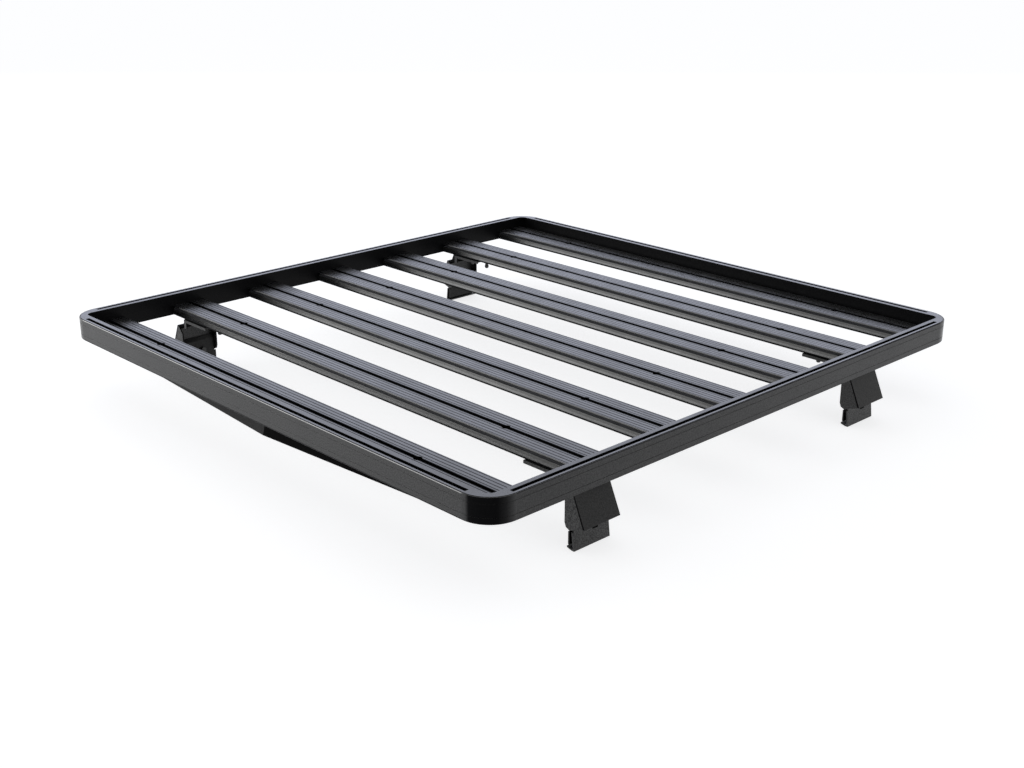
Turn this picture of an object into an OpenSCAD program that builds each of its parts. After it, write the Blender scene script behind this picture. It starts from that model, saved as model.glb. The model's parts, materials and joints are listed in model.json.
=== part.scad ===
// Flat platform roof rack: a black extruded tray of seven slats in a perimeter rail,
// with rounded corner castings, a swept wind fairing and four gutter feet.
// Millimetres. X runs across the vehicle, -Y is the front, Z is up.
// The origin is the middle of the rack's footprint, on the plane where its feet rest.

/* [Tray] */
// Outside width of the tray, across the vehicle
tray_w = 1330; // [1100:5:1500]
// Outside length of the tray, along the vehicle
tray_l = 1360; // [1355:5:1500]
// Height of the rail's top face above the feet's lowest point
tray_z = 176; // [150:2:230]

/* [Rail] */
// Height of the perimeter rail
rail_h = 47; // [44:1:60]
// Width of the perimeter rail
rail_w = 25; // [24:0.5:32]
// Distance from the rail's outer face to the middle of its top slot
rail_slot_inset = 11.4; // [11.2:0.1:13]
// Thickness of the rail's side, bottom and inner walls
rail_wall = 2.2; // [1.8:0.1:3]
// Width of the open top slot in rails and slats
slot_w = 8.4; // [6:0.2:9]
// Width of the channel below the rail's slot, where a bolt head slides
rail_channel_w = 16; // [14:0.5:17]
// Height of that channel
rail_channel_h = 7.5; // [6:0.5:9]
// Thickness of the lips on both sides of the rail's slot
rail_lip_t = 3; // [2.5:0.1:3.5]
// Distance between the slot's middle and the fine groove along the rail's outer edge
rail_strip = 8.6; // [8.3:0.1:8.9]
// Depth of that groove
rail_step = 1.8; // [1:0.1:1.8]
// Width of the fine grooves on the rail's outer face
groove_w = 1.2; // [0.8:0.1:1.6]
// Depth of the fine grooves on the rail's outer face
groove_d = 0.7; // [0.4:0.1:1]
// Distance from the rail's top to the upper groove
groove_top = 11; // [9:0.5:14]
// Distance from the rail's top to the lower groove
groove_low = 35; // [24:0.5:37]

/* [Corners] */
// Outer radius of a corner casting, which is also the length of its two arms
corner_r = 60; // [50:1:75]
// Wall thickness of a corner casting
corner_wall = 3; // [2.5:0.25:4]
// Thickness of a corner casting's flat top
corner_top = 4; // [3:0.5:6]
// Radius of the rounded inner corner of that top
corner_fillet = 15; // [8:1:18]
// Length of the spigot that enters each rail
spigot_len = 24; // [15:1:35]
// Clearance between a spigot and the rail's chamber, on each side
spigot_gap = 0.3; // [0.2:0.05:0.5]

/* [Slats] */
// Width of a slat over its sides' lower bands
slat_w = 83.2; // [76:0.2:92]
// Depth of the slats' top face below the rail's top face
slat_drop = 24.8; // [22:0.2:25]
// Gap between the outer slats and the front and back rails
slat_end_gap = 7.4; // [4:0.2:12]
// Wall thickness of a slat
slat_wall = 1.8; // [1.5:0.1:2.2]
// Thickness of the lips on both sides of a slat's slot
slat_lip_t = 2.6; // [2:0.1:3]
// Width of the channel below a slat's slot
slat_channel_w = 17; // [15:0.5:19]
// Height of that channel
slat_channel_h = 7; // [6:0.5:8]
// Diameter of the round holes where a bolt head enters a slat's slot
entry_d = 16; // [14:0.5:17]
// Distance from the rack's middle line to an entry hole
entry_x = 413; // [300:1:450]
// Depth of the crease in a slat's side below its top face
crease_d = 3.8; // [3.4:0.1:4.4]
// Distance between the fine grooves in a slat's top face
slat_groove_pitch = 8.6; // [8:0.1:8.8]
// Depth of the fine grooves in a slat's top face
slat_groove_d = 0.4; // [0.2:0.1:0.6]

/* [Feet] */
// Width of a foot along the vehicle
foot_w = 88; // [70:1:94]
// Thickness of the feet's steel sheet
foot_t = 3; // [2.5:0.25:4]
// Distance from the tray's side to the outer face of a leg at its lower end
leg_inset = 40; // [30:1:60]
// Length of the mounting plate that lies below a slat
plate_len = 109; // [95:1:130]
// Height of the mounting plate's downturned front and back edges
lip_h = 6; // [4:0.5:10]
// Width of the neck between the mounting plate and the shield
neck_w = 56; // [40:1:60]
// Distance by which the shield's lower lip stands out beyond the leg's lower end
shield_out = 22.8; // [18:0.2:27]
// Height of the sloping shield's lower lip above the feet's lowest point
shield_low_z = 47; // [44:1:56]
// Height of the jaw's upper end above the feet's lowest point
jaw_top = 72; // [68:1:78]
// Gap between leg and jaw, where the vehicle's gutter is gripped
jaw_gap = 4.6; // [4.4:0.1:6]
// Radius of the shank of the feet's bolts
bolt_r = 4; // [3.5:0.25:4]

/* [Fairing] */
// Length of the wind fairing across the vehicle
fairing_len = 1040; // [800:10:1100]
// Distance of the fairing's lower edge, at its middle fold, ahead of the first slat's middle
fairing_ahead = 33; // [28:1:36]
// Height of the fairing's lower edge above the feet's lowest point
fairing_z = 79; // [65:1:95]
// Angle by which each half of the fairing is swept back
fairing_sweep = 4; // [0:0.5:5]
// Thickness of the fairing's sheet
fairing_t = 2; // [1.5:0.25:3]

/* [Hidden] */
$fn = 48;
eps = 0.01;

// Heights of the main levels
rail_z = tray_z - rail_h;
slat_top_z = tray_z - slat_drop;
slat_z = rail_z;
slat_t = slat_top_z - slat_z;
// Rails between the corner castings
rail_x_len = tray_w - 2 * corner_r;
rail_y_len = tray_l - 2 * corner_r;
// Slats between the side rails' inner faces
slat_len = tray_w - 2 * rail_w;
// Slats with even gaps between them
slat_count = 7;
slat_mid = (slat_count + 1) / 2;
slat_pitch = (tray_l - 2 * (rail_w + slat_end_gap) - slat_w) / (slat_count - 1);
notch_z = slat_t - crease_d - 2.2;
notch_low = slat_t - crease_d - 4.6;
undercut_h = 2.4;
undercut_d = 2.6;
slat_groove_w = 1;
slat_groove_y = [for (k = [0:3]) 9.9 + k * slat_groove_pitch];
slat_floor = slat_t - slat_lip_t - slat_channel_h;
// Rail section: middle of the slot measured from the inner face, and the levels of its webs
slot_u = rail_w - rail_slot_inset;
channel_floor = rail_h - rail_lip_t - rail_channel_h;
chamber_top = channel_floor - 2;
// Bolts and nuts
hole_gap = 0.3;
hex_r = 7.2;
hex_h = 5.3;
washer_r = 9;
washer_t = 1.6;
// Feet hang below the second slat from the front and from the back
foot_slats = [2, slat_count - 1];
foot_slat_y = (slat_mid - foot_slats[0]) * slat_pitch;
leg_x = tray_w / 2 - leg_inset;
web_z = slat_z - foot_t;
// Shield, from the neck's fold below the slat to the lower lip
shield_top_x = leg_x - 14;
shield_low_x = leg_x + shield_out;
shield_top_z = slat_z - 19;
foot_in = shield_top_x - plate_len;
// Narrow tabs that hang from the mounting plate's outer corners
tab_x = leg_x - 43.5;
tab_w = 8.5;
tab_h = 20;
// Dark seam in a cheek's outer face, along the shield
seam_w = 2.4;
seam_d = 1.5;
// Cheeks: inner edge, sloping upper corner and rounded lower corner
cheek_in = leg_x - 23.5;
cheek_slope = 18;
cheek_low_x = leg_x - 12.4;
cheek_low_z = shield_low_z - 11.7;
cheek_round = 8;
shoulder_gap = 2;
// Leg and jaw
leg_lean = 4;
hook_in = 17;
hook_rise = 3;
hook_flat = 6;
jaw_z = 9;
jaw_bend = 9;
clamp_z = 41;
// Opening in the leg for the clamp bolt, off the foot's middle
leg_slot_w = 14;
leg_slot_y = 10;
leg_slot_z = 25.5;
bolt_tail = 4;
// Distances of a foot's mounting bolts from the rack's middle line, and the bolts' length below the head
mount_bolt_x = [foot_in + 12, foot_in + 68];
mount_bolt_len = 36;
cap_r = 5;
cap_h = 8;
// Fairing: backward lean of its face, width of its flange, bolts along it
fairing_lean = 12;
fairing_flange = 22;
fairing_bolt_y = fairing_lean + fairing_flange / 2;
fairing_bolt_x = [for (f = [-0.43, -0.14, 0.14, 0.43]) f * fairing_len];
fairing_bolt_r = 3;

function slat_y(i) = (i - slat_mid) * slat_pitch;

// Distance from the middle line to the shield's outer face at height z
function shield_x(z) = shield_top_x + (shield_low_x - shield_top_x) * (slat_z - z) / (slat_z - shield_low_z);

// Outline of the rail: the inner face is at u = 0 and the outer face at u = rail_w
module rail_outline() {
    edge = slot_u + rail_strip;
    polygon([[0, 0], [rail_w - 1.5, 0], [rail_w, 1.5], [rail_w, rail_h - 1.6], [rail_w - 0.6, rail_h - 0.6],
             [edge + 1.5, rail_h - 0.3], [edge + 1.2, rail_h - rail_step], [edge, rail_h - rail_step],
             [edge, rail_h], [0, rail_h]]);
}

module face_grooves() {
    for (d = [groove_top, groove_low])
        translate([rail_w - groove_d, rail_h - d - groove_w / 2]) square([groove_d + 1, groove_w]);
}

module rail_section() {
    difference() {
        rail_outline();
        face_grooves();
        translate([slot_u - slot_w / 2, channel_floor]) square([slot_w, rail_h]);
        translate([slot_u - rail_channel_w / 2, channel_floor]) square([rail_channel_w, rail_channel_h]);
        translate([rail_wall, rail_wall]) square([rail_w - 2 * rail_wall, chamber_top - rail_wall]);
    }
}

// A rail of the given length along X, with its inner face at y = 0 and its outer face towards +Y
module rail(len) {
    translate([-len / 2, 0, 0]) rotate([90, 0, 90]) linear_extrude(len) rail_section();
}

module front_rail() {
    color("#2b2c2e") translate([0, -tray_l / 2 + rail_w, rail_z]) rotate([0, 0, 180]) rail(rail_x_len);
}

module back_rail() {
    color("#2b2c2e") translate([0, tray_l / 2 - rail_w, rail_z]) rail(rail_x_len);
}

module left_rail() {
    color("#2b2c2e") translate([-tray_w / 2 + rail_w, 0, rail_z]) rotate([0, 0, 90]) rail(rail_y_len);
}

module right_rail() {
    color("#2b2c2e") translate([tray_w / 2 - rail_w, 0, rail_z]) rotate([0, 0, -90]) rail(rail_y_len);
}

// Spigot of a corner casting, inside the chamber of the rail that runs along X
module spigot(inner) {
    w = rail_w - 2 * (rail_wall + spigot_gap);
    h = chamber_top - rail_wall - 2 * spigot_gap;
    translate([-spigot_len, inner + rail_wall + spigot_gap, rail_wall + spigot_gap])
        cube([spigot_len + corner_wall, w, h]);
}

// Corner casting around its arc's centre, with one arm along +X and one along +Y
module corner_shape() {
    inner = corner_r - rail_w;
    difference() {
        union() {
            difference() {
                rotate_extrude(angle = 90, $fn = 96) difference() {
                    union() {
                        square([inner + eps, rail_h]);
                        translate([inner, 0]) rail_outline();
                    }
                    translate([inner, 0]) face_grooves();
                }
                translate([-1, -1, -1]) cube([inner + 1, inner + 1, rail_h + 2]);
            }
            // Rounded inner corner of the flat top, above the slats
            translate([inner - corner_fillet, inner - corner_fillet, rail_h - corner_top]) difference() {
                cube([corner_fillet + 1, corner_fillet + 1, corner_top]);
                translate([0, 0, -1]) cylinder(r = corner_fillet, h = corner_top + 2, $fn = 64);
            }
        }
        // Hollow from below
        difference() {
            translate([0, 0, -1]) cylinder(r = corner_r - corner_wall, h = rail_h - corner_top + 1, $fn = 96);
            translate([-corner_r, -corner_r, -2]) cube([corner_r + corner_wall, 2 * corner_r, rail_h + 4]);
            translate([-corner_r, -corner_r, -2]) cube([2 * corner_r, corner_r + corner_wall, rail_h + 4]);
            translate([-1, -1, -2]) cube([inner + corner_wall + 1, inner + corner_wall + 1, rail_h + 4]);
        }
    }
    spigot(inner);
    mirror([1, -1, 0]) spigot(inner);
}

// Corner casting at the side signs sx, sy
module corner(sx, sy) {
    color("#232427") translate([sx * (tray_w / 2 - corner_r), sy * (tray_l / 2 - corner_r), rail_z])
        mirror([sx < 0 ? 1 : 0, 0, 0]) mirror([0, sy < 0 ? 1 : 0, 0]) corner_shape();
}

// Right half of a slat's outline: undercut lower edge, slightly hollow side, notch, rounded edge of the top
function slat_half() = let (w = slat_w / 2, side_low = undercut_h + 1.6) [
    [w - undercut_d, 0], [w - undercut_d, undercut_h - 0.4], [w - 0.6, undercut_h], [w, undercut_h + 0.6],
    [w, side_low], [w - 1.9, (side_low + notch_low) / 2], [w - 2.6, notch_low], [w - 5, notch_low + 0.6],
    [w - 7.2, notch_z], [w - 5.2, slat_t - crease_d], [w - 2.2, slat_t - 2.4], [w - 1.6, slat_t - 1.2],
    [w - 2, slat_t - 0.4], [w - 2.9, slat_t]];

module slat_outline() {
    half = slat_half();
    polygon(concat(half, [for (i = [len(half) - 1:-1:0]) [-half[i].x, half[i].y]]));
}

// Side chamber of a slat, inside the wall thickness
module slat_side_chamber() {
    w = slat_w / 2 - slat_wall;
    start = slat_channel_w / 2 + slat_wall;
    roof = slat_t - slat_wall - slat_groove_d;
    polygon([[start, slat_wall], [w - undercut_d, slat_wall], [w - undercut_d, notch_low - 2.4],
             [w - 7.2, notch_low + 0.2], [w - 7.2, roof], [start, roof]]);
}

module slat_section() {
    difference() {
        slat_outline();
        for (m = [0, 1]) mirror([m, 0]) slat_side_chamber();
        // Chamber below the channel
        translate([1 - slat_channel_w / 2, slat_wall]) square([slat_channel_w - 2, slat_floor - 2 * slat_wall]);
        translate([-slat_channel_w / 2, slat_floor]) square([slat_channel_w, slat_channel_h]);
        translate([-slot_w / 2, slat_t - slat_lip_t - 1]) square([slot_w, slat_lip_t + 2]);
        for (s = [-1, 1], y = slat_groove_y)
            translate([s * y - slat_groove_w / 2, slat_t - slat_groove_d]) square([slat_groove_w, slat_groove_d + 1]);
    }
}

module slat(i) {
    color("#3a3b3f") translate([0, slat_y(i), slat_z]) difference() {
        translate([-slat_len / 2, 0, 0]) rotate([90, 0, 90]) linear_extrude(slat_len) slat_section();
        for (s = [-1, 1])
            translate([s * entry_x, 0, slat_t - slat_lip_t - 1]) cylinder(d = entry_d, h = slat_lip_t + 2);
        // Holes for the feet's mounting bolts and for the fairing's bolts
        if (len(search(i, foot_slats)) > 0)
            for (s = [-1, 1], x = mount_bolt_x)
                translate([s * x, 0, -1]) cylinder(r = bolt_r + hole_gap, h = slat_floor + 2);
        if (i == 1)
            for (x = fairing_bolt_x)
                translate([x, fairing_bolt_y - fairing_ahead + fairing_back(x), -1])
                    cylinder(r = fairing_bolt_r + hole_gap, h = slat_wall + 3);
    }
}

// Distance by which the swept fairing lies further back at x
function fairing_back(x) = abs(x) * tan(fairing_sweep);

// Swept wind fairing: section of one half, with a flange below the first slat
module fairing_section() {
    top = slat_z - fairing_z;
    back = fairing_lean + fairing_flange;
    polygon([[0, 0], [fairing_t, 0], [fairing_lean + fairing_t, top - fairing_t], [back, top - fairing_t],
             [back, top], [fairing_lean, top]]);
}

module fairing_half() {
    intersection() {
        rotate([0, 0, fairing_sweep]) translate([-60, 0, 0]) rotate([90, 0, 90])
            linear_extrude(fairing_len) fairing_section();
        translate([-eps, -100, -1]) cube([fairing_len / 2, 300, slat_z]);
    }
}

module fairing() {
    color("#1d1e20") translate([0, slat_y(1) - fairing_ahead, fairing_z]) difference() {
        for (m = [0, 1]) mirror([m, 0, 0]) fairing_half();
        for (x = fairing_bolt_x) translate([x, fairing_bolt_y + fairing_back(x), slat_z - fairing_z - fairing_t - 1])
            cylinder(r = fairing_bolt_r + hole_gap, h = fairing_t + 2);
    }
}

module fairing_bolts() {
    color("#1a1a1a") translate([0, slat_y(1) - fairing_ahead + fairing_bolt_y, slat_z - fairing_t])
        for (x = fairing_bolt_x) translate([x, fairing_back(x), -4]) {
            cylinder(r = 2 * fairing_bolt_r, h = 4, $fn = 6);
            cylinder(r = fairing_bolt_r, h = 4 + fairing_t + slat_wall + 1);
        }
}

// Foot parts are drawn for the right side and mirrored for the left one
module place_foot(sx, sy) {
    translate([0, sy * foot_slat_y, 0]) mirror([sx < 0 ? 1 : 0, 0, 0]) children();
}

// Sheet across the foot's width, with its outline in the XZ plane
module across(width) {
    translate([0, width / 2, 0]) rotate([90, 0, 0]) linear_extrude(width) children();
}

// Cheek below the shield's upper edge, with a sloping upper corner and a rounded lower one
module cheek_outline() {
    polygon([[shield_x(shield_top_z) - foot_t, shield_top_z], [cheek_in, shield_top_z - cheek_slope],
             [cheek_in, cheek_low_z + 1.5 * cheek_round], [cheek_in + 3, cheek_low_z + cheek_round / 2],
             [cheek_low_x, cheek_low_z], [shield_low_x - 1, shield_low_z],
             [shield_x(shield_top_z) - 1, shield_top_z]]);
}

// Strip of a cheek along the shield, at distance 0.8 from the shield's outer face
module seam_outline() {
    far = 0.8 + seam_w;
    polygon([[shield_x(shield_top_z) - far, shield_top_z + 1], [shield_low_x - far, shield_low_z - 2],
             [shield_low_x - 0.8, shield_low_z - 2], [shield_x(shield_top_z) - 0.8, shield_top_z + 1]]);
}

// Sloping sheet between two heights
module shield_outline(low, high) {
    polygon([[shield_x(high), high], [shield_x(low), low], [shield_x(low) - foot_t, low],
             [shield_x(high) - foot_t, high]]);
}

module foot_bracket_shape() {
    difference() {
        union() {
            for (s = [-1, 1]) {
                translate([0, s * (foot_w - foot_t) / 2, 0]) across(foot_t) cheek_outline();
                translate([tab_x, s * (foot_w - foot_t) / 2 - foot_t / 2, slat_z - tab_h])
                    cube([tab_w, foot_t, tab_h]);
                translate([foot_in, s * (foot_w - foot_t) / 2 - foot_t / 2, slat_z - lip_h])
                    cube([tab_x + tab_w - foot_in, foot_t, lip_h]);
            }
            across(foot_w) shield_outline(shield_low_z, shield_top_z);
            across(neck_w) shield_outline(shield_top_z - 1, slat_z);
            // Mounting plate below the slat, narrowed to the neck
            translate([foot_in, -foot_w / 2, web_z]) cube([tab_x + tab_w - foot_in, foot_w, foot_t]);
            translate([tab_x, -neck_w / 2, web_z]) cube([shield_top_x - tab_x, neck_w, foot_t]);
        }
        for (x = mount_bolt_x) translate([x, 0, web_z - 1]) cylinder(r = bolt_r + hole_gap, h = foot_t + 2);
        for (s = [-1, 1]) translate([0, s * (foot_w / 2 - seam_d / 2 + 0.5), 0]) across(seam_d + 1) seam_outline();
    }
}

// Leg: a hooked plate as wide as the foot, and a tongue between the cheeks
module foot_leg_shape() {
    shoulder_z = cheek_low_z - 1.5;
    face_x = leg_x - leg_lean;
    // The tongue ends where it meets the shield's inner face
    slope = (slat_z - shield_low_z) / (shield_low_x - shield_top_x);
    tongue_z = slat_z - (face_x + foot_t - shield_top_x) * slope - hole_gap;
    difference() {
        union() {
            across(foot_w)
                polygon([[leg_x, 0], [face_x, shoulder_z], [face_x - foot_t, shoulder_z],
                         [leg_x - foot_t - 0.5, foot_t + 1], [leg_x - hook_flat - 1, foot_t],
                         [leg_x - hook_in, hook_rise + foot_t], [leg_x - hook_in, hook_rise],
                         [leg_x - hook_flat, 0]]);
            translate([0, 0, -eps]) across(foot_w - 2 * foot_t)
                translate([face_x - foot_t, shoulder_z]) square([foot_t, tongue_z - shoulder_z]);
        }
        translate([leg_x - 20, leg_slot_y - leg_slot_w / 2, leg_slot_z])
            cube([30, leg_slot_w, clamp_z + leg_slot_w / 2 - leg_slot_z]);
    }
}

// Distance from the middle line to the inner face of the jaw
function jaw_x() = leg_x - leg_lean - foot_t - jaw_gap - foot_t;

// Jaw: wide below the cheeks, narrower between them, with its upper end bent against the leg
module foot_jaw_shape() {
    x = jaw_x();
    leg_in = x + foot_t + jaw_gap;
    shoulder = cheek_low_z - shoulder_gap;
    difference() {
        union() {
            translate([x, -foot_w / 2, jaw_z]) cube([foot_t, foot_w, shoulder - jaw_z]);
            across(foot_w - 2 * foot_t - 2)
                polygon([[x, jaw_z], [x + foot_t, jaw_z], [x + foot_t, jaw_top - jaw_bend],
                         [leg_in, jaw_top - foot_t], [leg_in, jaw_top], [x + jaw_gap, jaw_top],
                         [x, jaw_top - jaw_bend + 1.5]]);
        }
        translate([x - 1, leg_slot_y, clamp_z]) rotate([0, 90, 0])
            cylinder(r = bolt_r + hole_gap, h = foot_t + 2);
    }
}

// Clamp bolt: hexagon head on the jaw, washer and nut on the leg
module foot_clamp_bolt_shape() {
    grip = leg_x - leg_lean - jaw_x();
    translate([jaw_x(), leg_slot_y, clamp_z]) rotate([0, 90, 0]) {
        translate([0, 0, -hex_h]) cylinder(r = hex_r, h = hex_h, $fn = 6);
        translate([0, 0, -1]) cylinder(r = bolt_r, h = grip + washer_t + hex_h + bolt_tail / 2 + 1);
        translate([0, 0, grip]) cylinder(r = washer_r, h = washer_t);
        translate([0, 0, grip + washer_t - eps]) cylinder(r = hex_r, h = hex_h, $fn = 6);
    }
}

// Mounting bolts: heads in the slat's channel, nuts below the plate, domed caps on the ends
module foot_mount_bolts_shape() {
    head_z = slat_z + slat_floor;
    for (x = mount_bolt_x) translate([x, 0, 0]) {
        translate([0, 0, head_z]) cylinder(r = hex_r, h = hex_h, $fn = 6);
        translate([0, 0, head_z - mount_bolt_len]) cylinder(r = bolt_r, h = mount_bolt_len + 1);
        translate([0, 0, head_z - mount_bolt_len - cap_h / 2]) rotate_extrude()
            polygon([[0, 0], [cap_r - 2, 0.5], [cap_r - 0.6, 1.8], [cap_r, 3.6], [cap_r, cap_h], [0, cap_h]]);
        translate([0, 0, web_z - hex_h - 1]) cylinder(r = hex_r, h = hex_h + 1, $fn = 6);
    }
}

module foot_bracket(sx, sy) {
    color("#2a2b2d") place_foot(sx, sy) foot_bracket_shape();
}

module foot_leg(sx, sy) {
    color("#303134") place_foot(sx, sy) foot_leg_shape();
}

module foot_jaw(sx, sy) {
    color("#303134") place_foot(sx, sy) foot_jaw_shape();
}

module foot_clamp_bolt(sx, sy) {
    color("#18191a") place_foot(sx, sy) foot_clamp_bolt_shape();
}

module foot_mount_bolts(sx, sy) {
    color("#18191a") place_foot(sx, sy) foot_mount_bolts_shape();
}

front_rail();
back_rail();
left_rail();
right_rail();
corner(-1, -1);  // corner_front_left
corner(1, -1);  // corner_front_right
corner(-1, 1);  // corner_back_left
corner(1, 1);  // corner_back_right
slat(1);  // slat_1
slat(2);  // slat_2
slat(3);  // slat_3
slat(4);  // slat_4
slat(5);  // slat_5
slat(6);  // slat_6
slat(7);  // slat_7
fairing();
fairing_bolts();
foot_bracket(-1, -1);  // foot_front_left_bracket
foot_leg(-1, -1);  // foot_front_left_leg
foot_jaw(-1, -1);  // foot_front_left_jaw
foot_clamp_bolt(-1, -1);  // foot_front_left_clamp_bolt
foot_mount_bolts(-1, -1);  // foot_front_left_mount_bolts
foot_bracket(1, -1);  // foot_front_right_bracket
foot_leg(1, -1);  // foot_front_right_leg
foot_jaw(1, -1);  // foot_front_right_jaw
foot_clamp_bolt(1, -1);  // foot_front_right_clamp_bolt
foot_mount_bolts(1, -1);  // foot_front_right_mount_bolts
foot_bracket(-1, 1);  // foot_back_left_bracket
foot_leg(-1, 1);  // foot_back_left_leg
foot_jaw(-1, 1);  // foot_back_left_jaw
foot_clamp_bolt(-1, 1);  // foot_back_left_clamp_bolt
foot_mount_bolts(-1, 1);  // foot_back_left_mount_bolts
foot_bracket(1, 1);  // foot_back_right_bracket
foot_leg(1, 1);  // foot_back_right_leg
foot_jaw(1, 1);  // foot_back_right_jaw
foot_clamp_bolt(1, 1);  // foot_back_right_clamp_bolt
foot_mount_bolts(1, 1);  // foot_back_right_mount_bolts
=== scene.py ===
import json
import math

import bpy
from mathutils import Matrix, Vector

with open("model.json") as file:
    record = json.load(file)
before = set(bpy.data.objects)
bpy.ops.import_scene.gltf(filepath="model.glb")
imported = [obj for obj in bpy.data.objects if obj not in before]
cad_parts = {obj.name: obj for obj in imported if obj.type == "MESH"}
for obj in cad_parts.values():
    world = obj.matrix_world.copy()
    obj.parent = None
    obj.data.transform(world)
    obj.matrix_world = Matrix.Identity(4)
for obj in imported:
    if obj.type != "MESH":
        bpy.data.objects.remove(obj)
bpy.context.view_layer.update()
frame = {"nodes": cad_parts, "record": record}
NODES = frame["nodes"]
SLOTS = {s["node"]: s["material_slot"] for s in frame["record"]["subparts"]}

# Sizes of the part, in metres, that the coats follow
TRAY_W, TRAY_L = 1.330, 1.360
RAIL_TOP, RAIL_BOTTOM = 0.176, 0.129
SLAT_TOP, SLAT_PITCH, MIDDLE_SLAT = 0.1512, 0.202, 4
# Slots: a rail's slot from its outer face, a bolt channel's depth and half width
SLOT_INSET, SLOT_DEPTH, CHANNEL_HALF = 0.0114, 0.0110, 0.0089
# Fine grooves in a slat's top: the first one's distance from the slat's middle, and their pitch
GROOVE_START, GROOVE_PITCH = 0.0099, 0.0086
# A foot's middle, and its shield's lower end and outward direction in X and Z
FOOT_Y = 0.404
SHIELD_LOW, SHIELD_TURN = (0.6478, 0.047), (0.912, 0.409)

# Zones of a slat: depths below its top, and distances from its middle
JUST_BELOW = 0.0002
GROOVE_DEPTHS, NOTCH_DEPTHS, BAND_DEPTHS, EDGE_DEPTHS = (
    (0.0001, 0.0005), (0.002, 0.0085), (0.0085, 0.0134), (0.019, 0.0219))
GROOVES_END, NOTCH_FROM, SIDE_FROM = 0.037, 0.034, 0.0385
# Zones of a rail: distances behind its outer face
ROUND_EDGE, GROOVE_BEHIND, SKIRT_BEHIND, OUTER_WALL, INNER_FACE = (
    0.001, (0.0013, 0.0029), 0.002, 0.0031, 0.0248)
# Zones of a foot's bracket: the seams' walls and floors from its middle, and where its shield begins
SEAM_WALLS, SEAM_FLOORS, BESIDE_SEAM = (0.042, 0.043), (0.0431, 0.0434), 0.0435
SHIELD_FROM_X, SHIELD_EDGE = 0.58, 0.0012

# Painted shade in the gloss, as dark lines and a darker fairing half: where each begins and ends to
# fade out, and the share of the gloss left in it
GROOVE_LINE = (0.0009, 0.002, 0.2)
SLOT_LINE = (0.0055, 0.0069, 0.04)
SLAT_EDGE_LINE = (SLAT_TOP - 0.0182, SLAT_TOP - 0.0166, 0.04)
SKIRT_LINE = (RAIL_BOTTOM + 0.0022, RAIL_BOTTOM + 0.0036, 0.12)
FAIRING_SWEEP = (-0.05, 0.03, 0.13)
# Painted shade: the share of a corner face's gloss kept, by the degrees it has turned from the front
# to the right
CORNER_TURN = [(7, 1.0), (13, 0.07), (58, 0.05), (72, 0.22), (82, 0.6), (90, 0.9), (100, 1.0)]


def new_material(name):
    m = bpy.data.materials.new(name)
    m.use_nodes = True
    nt = m.node_tree
    nt.nodes.clear()
    return m, nt


def node(nt, kind, **values):
    """A new shader node, with its settings or the values of its inputs by name."""
    n = nt.nodes.new(kind)
    for key, value in values.items():
        if hasattr(n, key):
            setattr(n, key, value)
        else:
            n.inputs[key.replace("_", " ")].default_value = value
    return n


def ramp(nt, factor, stops):
    r = nt.nodes.new("ShaderNodeValToRGB")
    while len(r.color_ramp.elements) < len(stops):
        r.color_ramp.elements.new(0.5)
    for e, (pos, c) in zip(r.color_ramp.elements, stops):
        e.position = pos
        e.color = (c[0], c[1], c[2], 1) if isinstance(c, tuple) else (c, c, c, 1)
    nt.links.new(factor, r.inputs["Fac"])
    return r.outputs["Color"]


def map_range(nt, value, from_min, from_max, to_min, to_max, kind="LINEAR"):
    r = node(nt, "ShaderNodeMapRange", interpolation_type=kind,
             From_Min=from_min, From_Max=from_max, To_Min=to_min, To_Max=to_max)
    nt.links.new(value, r.inputs["Value"])
    return r.outputs["Result"]


def math_node(nt, operation, a, b):
    m = node(nt, "ShaderNodeMath", operation=operation)
    for i, v in enumerate((a, b)):
        if isinstance(v, (int, float)):
            m.inputs[i].default_value = v
        else:
            nt.links.new(v, m.inputs[i])
    return m.outputs[0]


def multiply(nt, a, b):
    m = node(nt, "ShaderNodeMix", data_type="RGBA", blend_type="MULTIPLY")
    m.inputs[0].default_value = 1.0
    nt.links.new(a, m.inputs[6])
    nt.links.new(b, m.inputs[7])
    return m.outputs[2]


def parts_of(nt, vector):
    """The X, Y and Z outputs of a vector."""
    split = node(nt, "ShaderNodeSeparateXYZ")
    nt.links.new(vector, split.inputs[0])
    return split.outputs


def fade(nt, value, inner, outer, least):
    """Factor that rises from least to 1 while value goes from inner to outer."""
    return map_range(nt, value, inner, outer, least, 1.0, "SMOOTHSTEP")


def slat_painted_shade(nt, place):
    """Painted shade: dark lines in the gloss at a slat's fine grooves, beside its slot and along its
    side's lower edge.
    """
    # Half a pitch is added for the middle slat, and whole pitches to stay above zero
    y = math_node(nt, "ADD", place["Y"], 10.5 * SLAT_PITCH)
    y = math_node(nt, "SUBTRACT", math_node(nt, "MODULO", y, SLAT_PITCH), SLAT_PITCH / 2)
    off = math_node(nt, "ABSOLUTE", y, 0.0)
    y = math_node(nt, "SUBTRACT", off, GROOVE_START - 2 * GROOVE_PITCH)
    lines = fade(nt, math_node(nt, "PINGPONG", y, GROOVE_PITCH / 2), *GROOVE_LINE)
    lines = math_node(nt, "MULTIPLY", lines, fade(nt, off, *SLOT_LINE))
    return math_node(nt, "MULTIPLY", lines, fade(nt, place["Z"], *SLAT_EDGE_LINE))


def skirt_painted_shade(nt, place):
    """Painted shade: a dark line in the gloss along the lower edge of a rail's face."""
    return fade(nt, place["Z"], *SKIRT_LINE)


def fairing_painted_shade(nt, place):
    """Painted shade: the gloss of the fairing's right half, turned a little to the right, is darkened.
    """
    way = parts_of(nt, node(nt, "ShaderNodeNewGeometry").outputs["Normal"])
    return fade(nt, math_node(nt, "MULTIPLY", way["X"], -1.0), *FAIRING_SWEEP)


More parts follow.
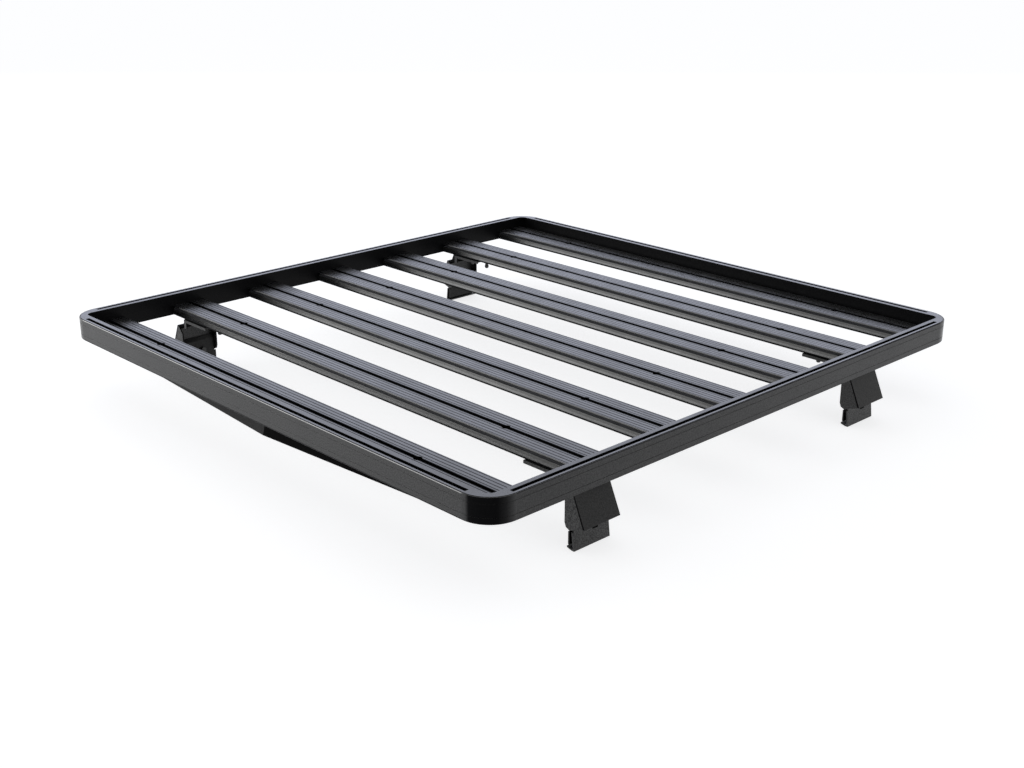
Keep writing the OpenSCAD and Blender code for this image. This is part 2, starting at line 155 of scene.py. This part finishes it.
def corner_painted_shade(nt, place):
    """Painted shade: the gloss round a corner casting is darkened where its face turns to the front
    right.
    """
    way = parts_of(nt, node(nt, "ShaderNodeNewGeometry").outputs["Normal"])
    angle = math_node(nt, "ARCTAN2", way["X"], math_node(nt, "MULTIPLY", way["Y"], -1.0))
    share = math_node(nt, "ADD", math_node(nt, "DIVIDE", angle, 2 * math.pi), 0.5)
    return ramp(nt, share, [(0.5 + deg / 360, level) for deg, level in CORNER_TURN])


def powder_coat(name, colour, rough, ior=1.5, spec=0.5, grain=900.0, bump=0.25, edge=0.0006,
                mottle=0.25, lacquer=0.0, tilt=0.0, shading=None):
    """Powder coat: fine pimpled skin, mottled gloss, soft clouds in colour, slightly rounded edges.

    tilt: how far a hollow face turns up. shading: function that gives a factor for the gloss by place,
    to paint shade into it.
    """
    clouds, cloud_scale, pimple_height, lacquer_rough = 0.12, 14.0, 0.00012, 0.2
    m, nt = new_material(name)
    link = nt.links.new
    place = node(nt, "ShaderNodeTexCoord").outputs["Object"]
    fine = node(nt, "ShaderNodeTexNoise", Scale=grain, Detail=3.0, Roughness=0.6)
    spots = node(nt, "ShaderNodeTexNoise", Scale=grain * 0.5, Detail=2.0, Roughness=0.5)
    wide = node(nt, "ShaderNodeTexNoise", Scale=cloud_scale, Detail=4.0, Roughness=0.55)
    specks = node(nt, "ShaderNodeTexVoronoi", Scale=grain * 0.8)
    for texture in (fine, spots, wide, specks):
        link(place, texture.inputs["Vector"])

    low = tuple(c * (1 - clouds) for c in colour)
    high = tuple(c * (1 + clouds) for c in colour)
    base = ramp(nt, wide.outputs["Fac"], [(0.3, low), (0.7, high)])
    base = multiply(nt, base, ramp(nt, fine.outputs["Fac"], [(0.25, 0.82), (0.75, 1.12)]))
    gloss = map_range(nt, wide.outputs["Fac"], 0.3, 0.7, rough - 0.04, rough + 0.05)

    height = math_node(nt, "ADD", fine.outputs["Fac"], specks.outputs["Distance"])
    height = math_node(nt, "ADD", height, math_node(nt, "MULTIPLY", spots.outputs["Fac"], 1.5))
    rounded = node(nt, "ShaderNodeBevel", samples=4, Radius=edge)
    hollow = node(nt, "ShaderNodeVectorMath", operation="ADD")
    link(rounded.outputs["Normal"], hollow.inputs[0])
    hollow.inputs[1].default_value = (0, 0, tilt)
    unit = node(nt, "ShaderNodeVectorMath", operation="NORMALIZE")
    link(hollow.outputs[0], unit.inputs[0])
    bumped = node(nt, "ShaderNodeBump", Strength=bump, Distance=pimple_height)
    link(height, bumped.inputs["Height"])
    link(unit.outputs[0], bumped.inputs["Normal"])

    # Small pits in the coat catch less light
    pits = [(0.38, spec * (1 - mottle)), (0.62, spec * (1 + mottle))]
    level = ramp(nt, spots.outputs["Fac"], pits)
    # Painted shade: the gloss is darkened by place
    if shading:
        level = multiply(nt, level, shading(nt, parts_of(nt, place)))
    shader = node(nt, "ShaderNodeBsdfPrincipled", IOR=ior,
                  Coat_Weight=lacquer, Coat_Roughness=lacquer_rough)
    link(level, shader.inputs["Specular IOR Level"])
    link(base, shader.inputs["Base Color"])
    link(gloss, shader.inputs["Roughness"])
    link(bumped.outputs["Normal"], shader.inputs["Normal"])
    link(shader.outputs["BSDF"], node(nt, "ShaderNodeOutputMaterial").inputs["Surface"])
    return m


RAIL_SKIN = dict(colour=(0.0045, 0.0045, 0.005), rough=0.3)
# Coats given a shading function have painted shade in their gloss
COAT_VALUES = {
    "rail_coat": dict(spec=0.54, grain=850.0, mottle=0.3, shading=skirt_painted_shade, **RAIL_SKIN),
    # The side rails' faces: a duller copy of the rail coat, painted shade
    "side_rail_shade": dict(spec=0.4, **RAIL_SKIN),
    "slat_coat": dict(colour=(0.005, 0.0052, 0.006), rough=0.27, ior=1.72, mottle=0.12,
                      shading=slat_painted_shade),
    "corner_coat": dict(bump=0.12, mottle=0.15, shading=corner_painted_shade, **RAIL_SKIN),
    "fairing_coat": dict(colour=(0.0025, 0.0025, 0.0025), rough=0.5, spec=0.14, shading=fairing_painted_shade),
    "foot_coat": dict(colour=(0.01, 0.01, 0.01), rough=0.42, spec=0.45, bump=0.4, mottle=0.5),
    "black_bolt": dict(colour=(0.004, 0.004, 0.004), rough=0.35, grain=500.0, bump=0.1, edge=0.0004),
    # Tops beside the slots: glossier copies of the rail coat as painted sheen, the outer lips more so,
    # and their round edge on the front and back rails most, as a painted highlight
    "lip_painted_sheen": dict(colour=(0.005, 0.005, 0.0055), rough=0.26, ior=1.6, lacquer=0.2, mottle=0.1),
    "edge_painted_highlight": dict(colour=(0.006, 0.006, 0.0065), rough=0.2, ior=1.8, lacquer=1.0, mottle=0.1),
    "top_painted_sheen": dict(colour=(0.005, 0.005, 0.0055), rough=0.27, ior=1.65, mottle=0.12),
    # A slat's side: hollow band, and the notch above it, as lighter copies of the slat coat, painted
    # light
    "band_painted_light": dict(colour=(0.012, 0.0118, 0.011), rough=0.3, ior=1.55, tilt=0.24, mottle=0.12),
    "notch_painted_light": dict(colour=(0.055, 0.056, 0.06), rough=0.4, mottle=0.1),
    # Feet, apart from the brackets' and legs' main coat: darker, duller copies of it as painted shade
    # on the brackets' inner faces, the shields and the jaws
    "foot_inside_shade": dict(colour=(0.004, 0.004, 0.004), rough=0.45, spec=0.06, bump=0.3),
    "jaw_shade": dict(colour=(0.006, 0.006, 0.006), rough=0.45, spec=0.26, bump=0.3),
    "shield_shade": dict(colour=(0.008, 0.008, 0.008), rough=0.42, spec=0.28, bump=0.3),
    # Slots, channels, grooves, seams and inner faces: painted shade, as dark dull copies of the coat
    # where hardly any light comes out
    "channel_shade": dict(colour=(0.0012, 0.0012, 0.0018), rough=0.6, spec=0.05, bump=0.1),
    "groove_shade": dict(colour=(0.003, 0.003, 0.004), rough=0.5, spec=0.12, bump=0.1),
    "inner_wall_shade": dict(colour=(0.0025, 0.0025, 0.003), rough=0.4, spec=0.1),
}
COATS = {name: powder_coat(name, **values) for name, values in COAT_VALUES.items()}


def within(value, limits):
    return limits[0] < value < limits[1]


def slat_look(name, c, n):
    off = abs(c.y - (int(name[len("slat_"):]) - MIDDLE_SLAT) * SLAT_PITCH)
    low = SLAT_TOP - c.z
    # Painted shade in the slot, the fine grooves and along the lower edge of the side
    if off < CHANNEL_HALF and within(low, (JUST_BELOW, SLOT_DEPTH)):
        return "channel_shade"
    if off < GROOVES_END and within(low, GROOVE_DEPTHS):
        return "groove_shade"
    if off > SIDE_FROM and within(low, EDGE_DEPTHS):
        return "channel_shade"
    # Painted light: lighter copies of the slat coat on the notch and the side's band
    if off > NOTCH_FROM and within(low, NOTCH_DEPTHS):
        return "notch_painted_light"
    if off > SIDE_FROM and within(low, BAND_DEPTHS) and abs(n.y) > 0.9:
        return "band_painted_light"
    return "slat_coat"


def rail_look(name, c, n):
    side = name in ("left_rail", "right_rail")
    behind = TRAY_W / 2 - abs(c.x) if side else TRAY_L / 2 - abs(c.y)
    low = RAIL_TOP - c.z
    in_channel = abs(behind - SLOT_INSET) < CHANNEL_HALF and behind > OUTER_WALL
    if in_channel and within(low, (JUST_BELOW, SLOT_DEPTH)):
        return "channel_shade"
    # Painted shade on the inner face, the bottom chamfer and the fine groove along the outer edge,
    # darkest on the side rails
    if behind > INNER_FACE:
        return "inner_wall_shade"
    if n.z < -0.3 and behind < SKIRT_BEHIND:
        return "groove_shade"
    if within(behind, GROOVE_BEHIND) and low > JUST_BELOW and n.z > -0.5:
        return "channel_shade" if side else "groove_shade"
    # Painted sheen on the tops beside the slots
    if n.z > 0.3:
        if behind > SLOT_INSET:
            return "top_painted_sheen"
        # The round outer edge: a painted highlight on the front and back rails, painted shade on the
        # side rails
        if n.z < 0.95 and behind < ROUND_EDGE:
            return "groove_shade" if side else "edge_painted_highlight"
        return "lip_painted_sheen"
    # Painted shade: the side rails' faces get a duller copy of the coat
    return "side_rail_shade" if side else "rail_coat"


def corner_look(name, c, n):
    # Painted sheen on a corner's top, and painted shade on its faces towards the middle
    if n.z > 0.6:
        return "top_painted_sheen"
    faces_middle = n.x * c.x + n.y * c.y < -0.2
    return "inner_wall_shade" if faces_middle else "corner_coat"


def shield_depth(c):
    """Distance of a point behind the outer face of a foot's sloping shield."""
    return (SHIELD_LOW[0] - abs(c.x)) * SHIELD_TURN[0] + (SHIELD_LOW[1] - c.z) * SHIELD_TURN[1]


def bracket_look(name, c, n):
    off = abs(abs(c.y) - FOOT_Y)
    if abs(n.y) > 0.9:
        # Painted shade on the seam's walls, and on the thin edge of the shield beside it
        shield_edge = off > BESIDE_SEAM and shield_depth(c) < SHIELD_EDGE
        if within(off, SEAM_WALLS) or shield_edge:
            return "channel_shade"
    # Painted shade on the seam's floors
    if abs(n.y) < 0.1 and within(off, SEAM_FLOORS):
        return "channel_shade"
    # Painted shade: darker copies of the foot coat on the shields' outer faces and the brackets' inner
    # faces
    outward = math.copysign(n.x, n.x * c.x)
    if abs(c.x) > SHIELD_FROM_X and abs(outward) > 0.4:
        return "shield_shade" if outward > 0 else "foot_inside_shade"
    return "foot_coat"


def jaw_look(name, c, n):
    # Painted shade: a darker copy of the foot coat on the jaws
    return "jaw_shade"


LOOKS = {"slat": slat_look, "rail": rail_look, "corner": corner_look, "bracket": bracket_look,
         "jaw": jaw_look}
for name, obj in NODES.items():
    look = next((LOOKS[word] for word in name.split("_") if word in LOOKS), None)
    # The coat that the record names comes first, and the others as faces need them
    slots = [SLOTS[name]]
    obj.data.materials.clear()
    obj.data.materials.append(COATS[slots[0]])
    turn = obj.matrix_world.to_3x3()
    for p in obj.data.polygons:
        coat = look(name, obj.matrix_world @ p.center, turn @ p.normal) if look else slots[0]
        if coat not in slots:
            slots.append(coat)
            obj.data.materials.append(COATS[coat])
        p.material_index = slots.index(coat)


def seen_direct(nt):
    """1 for rays that show a surface to the camera, straight or by way of a gloss or a glass."""
    path = node(nt, "ShaderNodeLightPath")
    last = path.outputs["Is Camera Ray"]
    for kind in ("Is Glossy Ray", "Is Transmission Ray"):
        last = math_node(nt, "MAXIMUM", last, path.outputs[kind])
    return last


# Floor: grey; the lift makes it white where it is lit, and the object's shadow stays on it
FLOOR_HALF, FLOOR_Z, FLOOR_GREY, FLOOR_LIFT = 30.0, -0.0005, 0.5, 0.75
bpy.ops.mesh.primitive_plane_add(size=2 * FLOOR_HALF, location=(0, 0, FLOOR_Z))
floor = bpy.context.object
floor.name = "floor"
m, nt = new_material("studio_floor")
diffuse = node(nt, "ShaderNodeBsdfDiffuse", Color=(FLOOR_GREY, FLOOR_GREY, FLOOR_GREY, 1))
lift = node(nt, "ShaderNodeEmission", Color=(1, 1, 1, 1))
nt.links.new(math_node(nt, "MULTIPLY", seen_direct(nt), FLOOR_LIFT), lift.inputs["Strength"])
both = node(nt, "ShaderNodeAddShader")
nt.links.new(diffuse.outputs["BSDF"], both.inputs[0])
nt.links.new(lift.outputs[0], both.inputs[1])
nt.links.new(both.outputs[0], node(nt, "ShaderNodeOutputMaterial").inputs["Surface"])
floor.data.materials.append(m)

# World: soft, slightly blue light; white to the camera and in the coat's gloss
world = bpy.data.worlds.new("studio")
bpy.context.scene.world = world
world.use_nodes = True
nt = world.node_tree
nt.nodes.clear()
soft = node(nt, "ShaderNodeBackground", Color=(0.93, 0.95, 1.0, 1), Strength=0.5)
white = node(nt, "ShaderNodeBackground", Color=(1, 1, 1, 1), Strength=1.0)
mix = node(nt, "ShaderNodeMixShader")
nt.links.new(seen_direct(nt), mix.inputs[0])
nt.links.new(soft.outputs[0], mix.inputs[1])
nt.links.new(white.outputs[0], mix.inputs[2])
nt.links.new(mix.outputs[0], node(nt, "ShaderNodeOutputWorld").inputs["Surface"])


def softbox(name, location, target, width, height, radiance, colour=(1, 1, 1)):
    """Area light of an even brightness, where 1 is as bright as white paper."""
    light = bpy.data.lights.new(name, "AREA")
    light.shape, light.size, light.size_y = "RECTANGLE", width, height
    light.energy, light.color = radiance * math.pi * width * height, colour
    o = bpy.data.objects.new(name, light)
    bpy.context.collection.objects.link(o)
    o.location = location
    o.rotation_euler = (Vector(target) - Vector(location)).to_track_quat("-Z", "Y").to_euler()
    o.visible_camera = False


softbox("top_softbox", (-0.5, 0.5, 4.0), (0, 0, 0.1), 3.0, 3.0, 0.4)
softbox("front_left_softbox", (-2.5, -2.3, 0.95), (0, -0.1, 0.12), 2.6, 1.4, 2.6)
softbox("back_left_softbox", (-3.4, 3.3, 1.7), (0, 0, 0.15), 6.0, 2.6, 0.7, (0.52, 0.62, 1.0))

# Camera at the photo's angle: degrees down from level, and degrees turned from +Y to -X
CAM_AT = (2.049, -1.950, 1.060)
CAM_DOWN, CAM_TURN, CAM_LENS, CAM_SENSOR = 20.205, 46.35, 48.474, 36.0
cam = bpy.data.cameras.new("photo_camera")
cam.sensor_width, cam.lens = CAM_SENSOR, CAM_LENS
cam_obj = bpy.data.objects.new("photo_camera", cam)
bpy.context.collection.objects.link(cam_obj)
cam_obj.location = CAM_AT
cam_obj.rotation_euler = (math.radians(90 - CAM_DOWN), 0, math.radians(CAM_TURN))
bpy.context.scene.camera = cam_obj
bpy.context.scene.view_settings.view_transform = "Standard"
